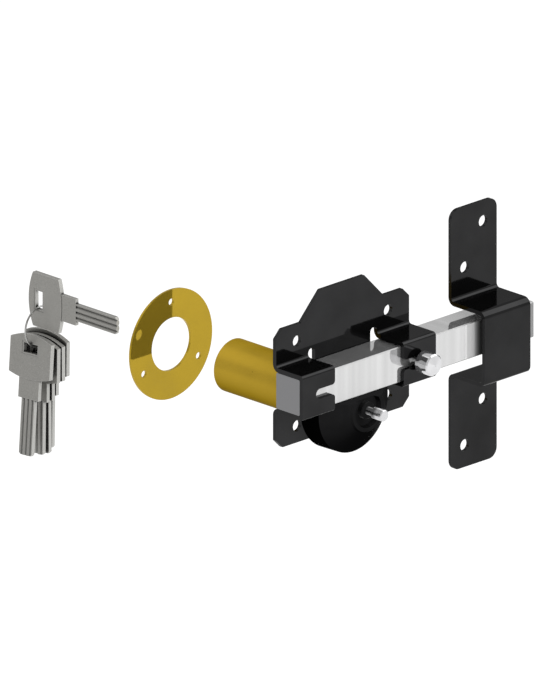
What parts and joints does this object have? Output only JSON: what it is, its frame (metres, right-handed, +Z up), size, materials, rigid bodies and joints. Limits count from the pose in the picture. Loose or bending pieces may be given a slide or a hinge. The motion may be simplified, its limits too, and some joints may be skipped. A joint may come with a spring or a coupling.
{
  "type": "rim lock",
  "caption": "Surface-mounted gate lock: long sliding bolt driven by a rack and pinion from a keyed barrel, with staple keeper, cover ring and keys laid out apart.",
  "frame": {"origin": "centre of the four screw holes in the back face of the back plate", "axes": "+Y out through the gate along the barrel, +X along the bolt towards the keeper, +Z up"},
  "size_m": [0.2005, 0.3139, 0.1948],
  "materials": {
    "black_paint": "gloss black enamel on pressed steel",
    "keeper_paint": "gloss black enamel on folded steel",
    "black_moulding": "black enamel on a die casting",
    "black_guide": "black enamel on a turned bush",
    "bolt_steel": "bright ground stainless bar",
    "knob_chrome": "polished chrome plate",
    "stud_steel": "bright steel",
    "pin_chrome": "polished chrome plate",
    "barrel_brass": "satin turned brass",
    "ring_brass": "polished brass",
    "core_brass": "turned brass",
    "inner_brass": "turned brass",
    "gear_steel": "machined steel",
    "screw_steel": "zinc plated steel",
    "spring_steel": "spring steel",
    "key_nickel": "satin nickel plate",
    "wire_steel": "thin steel wire"
  },
  "bodies": {
    "lock_case": {"back_plate": "black_paint", "gear_housing": "black_moulding", "housing_screws": "screw_steel", "barrel": "barrel_brass", "barrel_screws": "screw_steel", "tail_bush": "inner_brass", "driver_pins": "inner_brass", "tumbler_springs": "spring_steel", "chamber_plugs": "inner_brass", "pin_guide": "black_guide", "spring_seat": "screw_steel", "pin_spring": "spring_steel", "keeper": "keeper_paint"},
    "bolt_bar": {"bolt": "bolt_steel", "knob": "knob_chrome", "knob_stud": "stud_steel"},
    "core_train": {"core": "core_brass", "core_clip": "spring_steel", "key_pins": "inner_brass", "drive_tail": "screw_steel", "drive_gear": "gear_steel"},
    "push_pin": {"release_pin": "pin_chrome"},
    "ring": {"cover_ring": "ring_brass"},
    "key": {"working_key": "key_nickel"},
    "key_bunch": {"wire_ring": "wire_steel", "spare_key_1": "key_nickel", "spare_key_2": "key_nickel", "spare_key_3": "key_nickel", "spare_key_4": "key_nickel"}
  },
  "joints": [
    {"name": "bolt_slide", "type": "slide", "parent": "lock_case", "child": "bolt_bar", "axis": [-1, 0, 0], "range_m": [0, 0.0848]},
    {"name": "core_turn", "type": "hinge", "parent": "lock_case", "child": "core_train", "pos_m": [-0.0062, 0, -0.0186], "axis": [0, -1, 0], "range_deg": [0, 540]},
    {"name": "pin_push", "type": "slide", "parent": "lock_case", "child": "push_pin", "axis": [0, 1, 0], "range_m": [0, 0.005], "stiffness_N_per_m": 300, "springref_m": -0.004, "deforming": ["pin_spring"]},
    {"name": "ring_slide", "type": "slide", "parent": "lock_case", "child": "ring", "axis": [0, -1, 0], "range_m": [0, 0.085]},
    {"name": "key_slide", "type": "slide", "parent": "core_train", "child": "key", "axis": [0, -1, 0], "range_m": [0, 0.133]},
    {"name": "bunch_swing", "type": "hinge", "parent": "key", "child": "key_bunch", "pos_m": [-0.0048, 0.25135, -0.02385], "axis": [1, 0, 0], "range_deg": [-15, 15]}
  ],
  "couplings": [
    {"joint": "core_turn", "follows": "bolt_slide", "rad_per_m": 111.11},
    {"joint": "key_slide", "follows": "ring_slide", "ratio": 1.5647}
  ]
}
